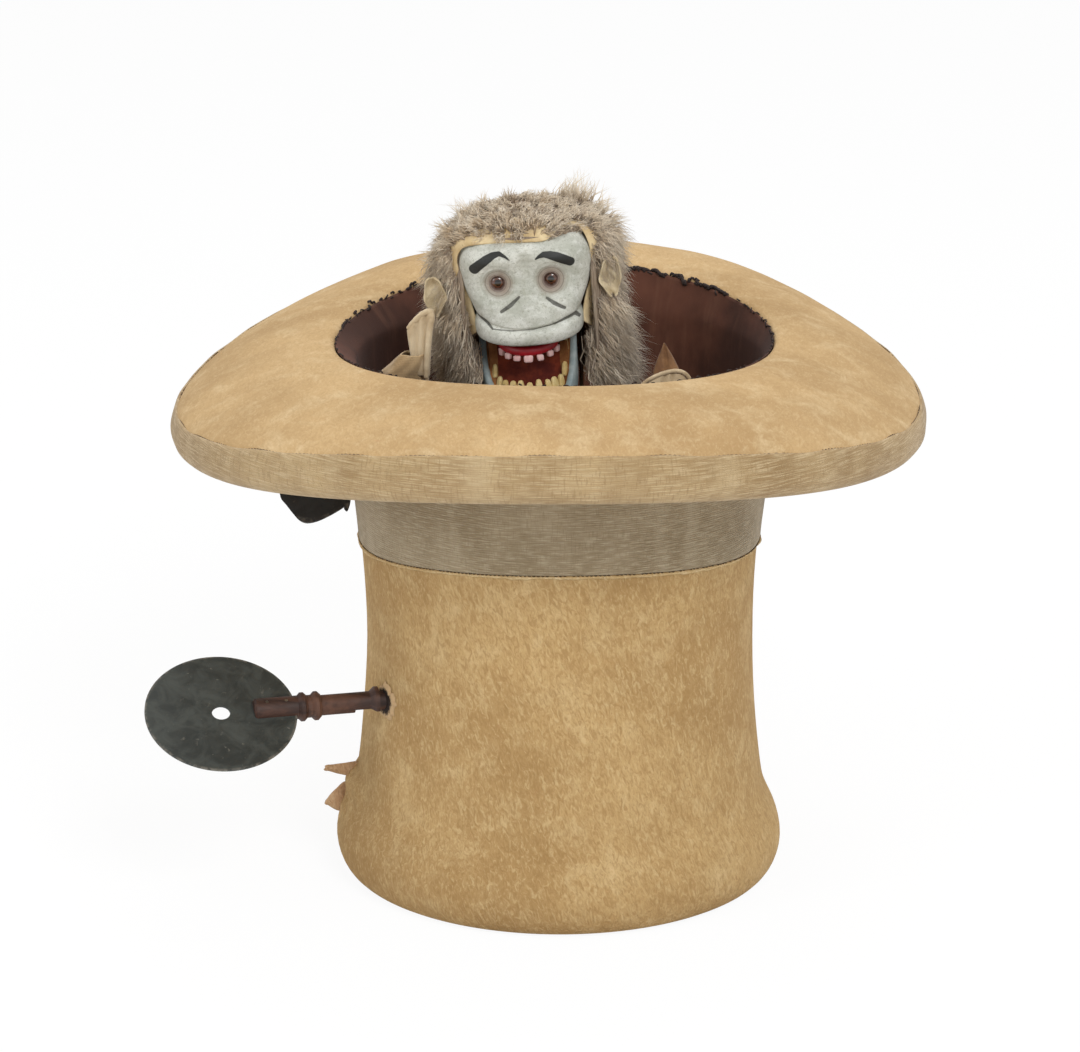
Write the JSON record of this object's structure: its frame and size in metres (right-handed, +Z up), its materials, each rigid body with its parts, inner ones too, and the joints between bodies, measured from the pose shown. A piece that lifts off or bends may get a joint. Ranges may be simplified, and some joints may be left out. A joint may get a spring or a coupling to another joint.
{
  "type": "crank automaton",
  "caption": "Plush top hat standing on its crown with a carved monkey head inside; a side crank turns the head and a black paddle under the brim works the jaw",
  "frame": {"origin": "centre of the flat crown face that the upturned hat stands on", "axes": "+Z up out of the hat's mouth, -Y the way the monkey looks, +X to the right seen from the front, so the crank points to -X"},
  "size_m": [0.5592, 0.554, 0.5098],
  "materials": {
    "felt": "thin pressed felt",
    "card": "shellacked card and buckram",
    "plush": "worn short-pile beige plush",
    "band": "grey-brown grosgrain ribbon",
    "brim_stuffing": "felted stuffing",
    "edge_ribbon": "khaki ribbed binding",
    "lining": "dark maroon cotton",
    "board": "plain softwood board",
    "turned_wood": "reddish-brown turned wood, waxed",
    "peg_wood": "beech, unfinished",
    "steel": "dull drawn steel",
    "brass": "dull brass",
    "disc_paint": "dark grey-green paint, scuffed",
    "black_paint": "satin black paint",
    "mask_paint": "pale grey gesso and paint on carved wood",
    "glass_eye": "brown glass eye",
    "gum_red": "red gloss paint",
    "tooth": "carved, off-white paint",
    "jaw_paint": "brown-red paint inside, grey-blue edges",
    "ear_skin": "thin pinkish skin",
    "tan_leather": "tan leather",
    "fur": "long grey-beige fur",
    "hand_felt": "pale beige felt",
    "sleeve_cloth": "khaki-beige cloth"
  },
  "bodies": {
    "hat": {"base_felt": "felt", "crown_shell": "card", "crown_plush": "plush", "hat_band": "band", "brim_core": "brim_stuffing", "brim_top_cover": "plush", "brim_under_cover": "plush", "brim_ribbon": "edge_ribbon", "lining": "lining", "base_board": "board", "shoulder_ledge": "board", "shoulder_board": "board", "board_screws": "steel", "neck_bush": "brass", "neck_pedestal": "turned_wood", "inner_bearing_board": "board", "outer_bearing_board": "board", "corner_blocks": "board", "crank_bush": "brass", "lever_bracket": "board", "lever_bush": "turned_wood", "left_sleeve": "sleeve_cloth", "right_sleeve": "sleeve_cloth", "left_hand": "hand_felt", "right_hand": "hand_felt"},
    "crank": {"crank_shaft": "steel", "crank_disc": "disc_paint", "handle_front_half": "turned_wood", "handle_back_half": "turned_wood", "handle_rivets": "steel", "lantern_flanges": "peg_wood", "lantern_pegs": "peg_wood", "lantern_pin": "steel", "shaft_collar": "brass", "collar_pin": "steel"},
    "head": {"neck_post": "turned_wood", "crown_wheel": "peg_wood", "wheel_pegs": "peg_wood", "wheel_pin": "steel", "head_block": "board", "face_mask": "mask_paint", "left_eye": "glass_eye", "right_eye": "glass_eye", "upper_gum": "gum_red", "upper_teeth": "tooth", "left_ear": "ear_skin", "right_ear": "ear_skin", "forehead_leather": "tan_leather", "fur_wig": "fur", "jaw_pin": "steel"},
    "collar_slider": {"throw_collar": "turned_wood", "push_wire": "steel"},
    "jaw": {"jaw_block": "jaw_paint", "lower_teeth": "tooth", "jaw_horn": "brass"},
    "jaw_lever": {"lever_shaft": "steel", "lever_finger": "steel", "jaw_paddle": "black_paint", "paddle_clamp": "black_paint"}
  },
  "joints": [
    {"name": "crank_turn", "type": "hinge", "parent": "hat", "child": "crank", "pos_m": [-0.024, -0.041, 0.147], "axis": [-0.9703, -0.2419, 0], "range_deg": [-90, 90]},
    {"name": "head_turn", "type": "hinge", "parent": "hat", "child": "head", "pos_m": [-0.024, -0.041, 0], "axis": [0, 0, 1], "range_deg": [-45, 45]},
    {"name": "jaw_lever_turn", "type": "hinge", "parent": "hat", "child": "jaw_lever", "pos_m": [-0.024, -0.041, 0.284], "axis": [-0.9278, 0.373, 0], "range_deg": [-18, 0]},
    {"name": "collar_slide", "type": "slide", "parent": "head", "child": "collar_slider", "axis": [0, 0, 1], "range_m": [-0.005, 0]},
    {"name": "jaw_hinge", "type": "hinge", "parent": "head", "child": "jaw", "pos_m": [-0.024, -0.041, 0.426], "axis": [0.9976, 0, 0.0698], "range_deg": [-24, 0]}
  ],
  "couplings": [
    {"joint": "head_turn", "follows": "crank_turn", "ratio": -0.5},
    {"joint": "jaw_lever_turn", "follows": "collar_slide", "rad_per_m": 62.758},
    {"joint": "jaw_hinge", "follows": "collar_slide", "rad_per_m": 83.677}
  ]
}
